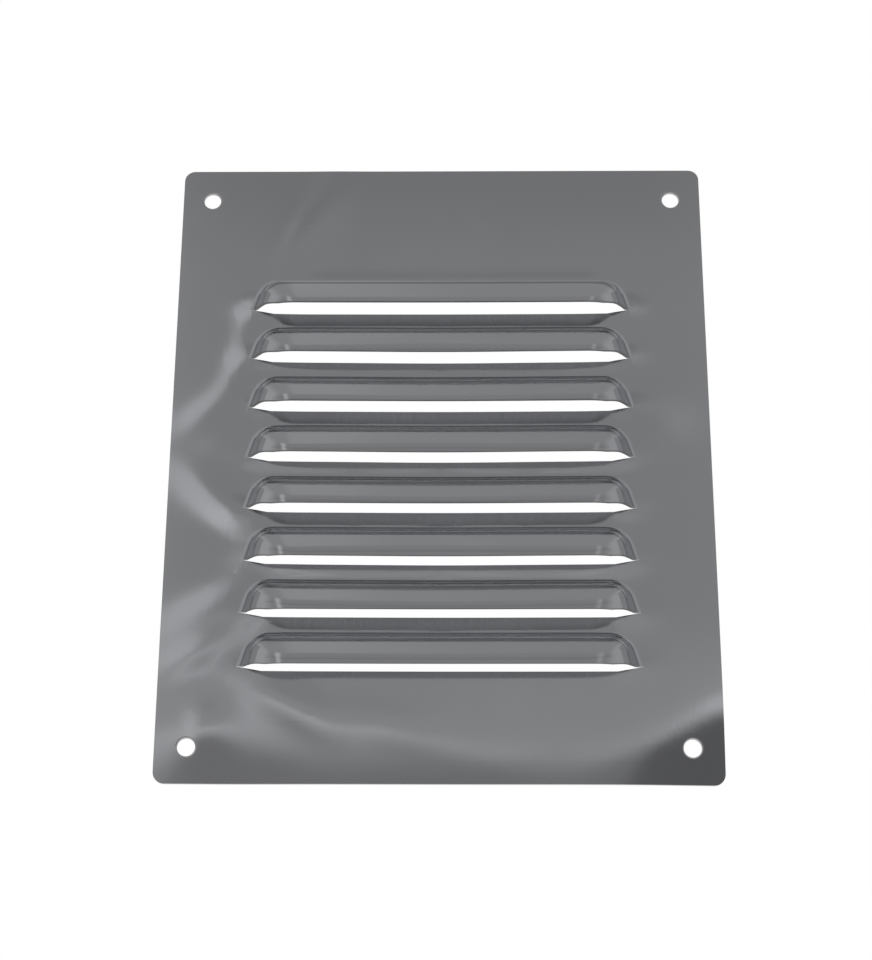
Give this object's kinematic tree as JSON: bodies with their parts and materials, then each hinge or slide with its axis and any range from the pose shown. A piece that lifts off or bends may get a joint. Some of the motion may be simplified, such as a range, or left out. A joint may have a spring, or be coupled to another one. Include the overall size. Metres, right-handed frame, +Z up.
{
  "type": "louvred air grille",
  "caption": "Upright polished stainless steel vent plate with a column of pressed louvre hoods opening downward and corner screw holes for fixing over a wall opening.",
  "frame": {"origin": "centre of the screw-hole pattern on the back face, which lies against the wall", "axes": "+Z up along the sheet's height, +X across its width, +Y into the wall; the louvres rise toward -Y and open toward -Z"},
  "size_m": [0.125, 0.0078, 0.15],
  "materials": {
    "polished_steel": "mirror-polished stainless steel sheet"
  },
  "bodies": {
    "root": {"face_plate": "polished_steel", "louvre_1": "polished_steel", "louvre_2": "polished_steel", "louvre_3": "polished_steel", "louvre_4": "polished_steel", "louvre_5": "polished_steel", "louvre_6": "polished_steel", "louvre_7": "polished_steel", "louvre_8": "polished_steel"}
  },
  "joints": []
}
